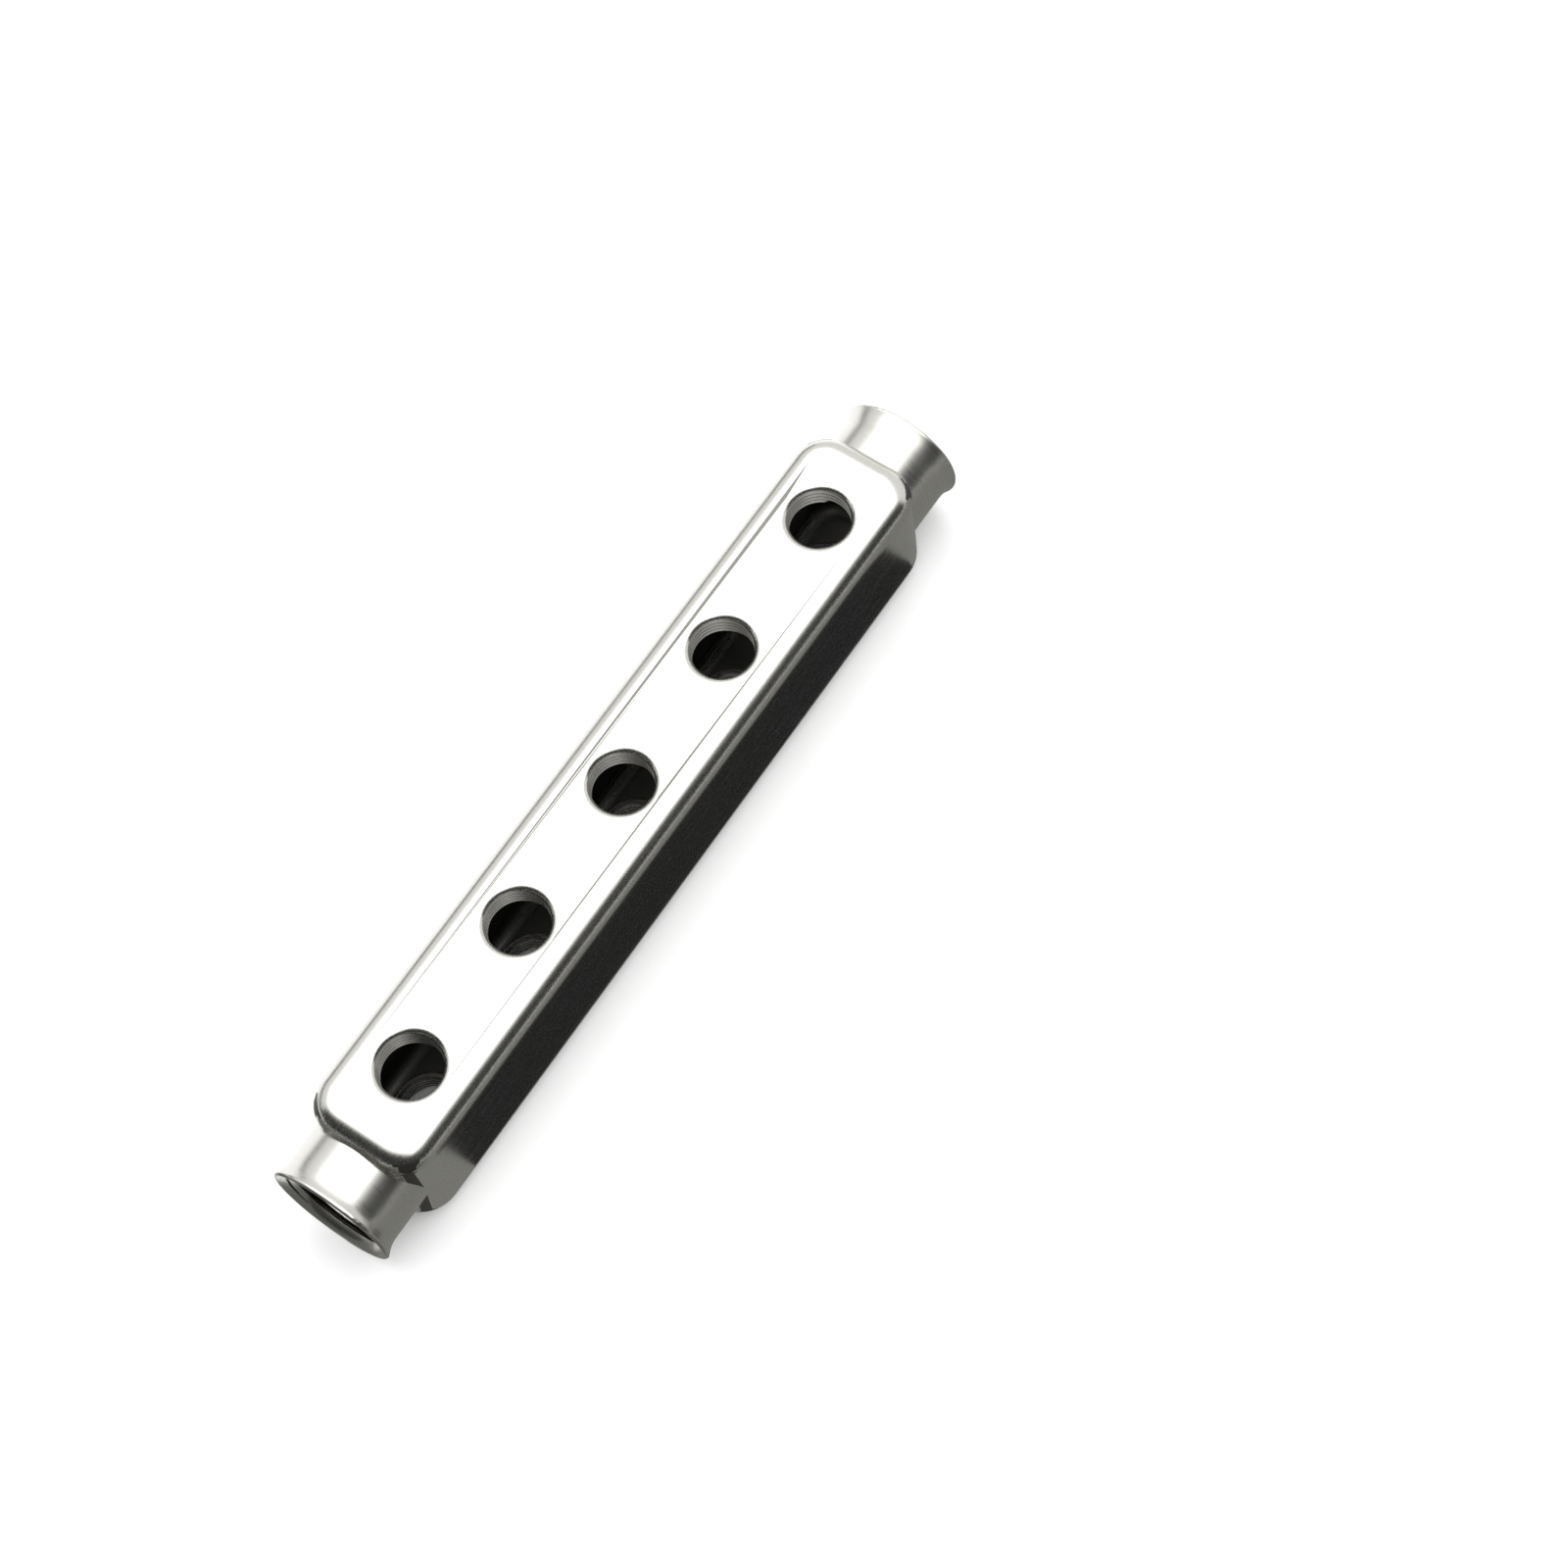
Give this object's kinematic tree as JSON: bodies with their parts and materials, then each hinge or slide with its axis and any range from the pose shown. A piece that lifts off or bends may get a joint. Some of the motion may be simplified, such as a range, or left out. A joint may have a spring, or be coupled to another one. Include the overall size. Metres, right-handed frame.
{
  "type": "rack coolant manifold bar",
  "caption": "Stainless coolant manifold bar: hydroformed rectangular body with opposed rows of threaded ports and flared, threaded round ends.",
  "frame": {"origin": "middle of the bar, on the common axis of its two threaded ends and half way between its two port faces", "axes": "+X along the bar, from one threaded end to the other; +Z out of the top row of ports; +Y out of a side face"},
  "size_m": [0.285, 0.04, 0.045],
  "materials": {
    "stainless_steel": "formed and satin brushed stainless steel, bright on the port faces"
  },
  "bodies": {
    "root": {"manifold_bar": "stainless_steel"}
  },
  "joints": []
}
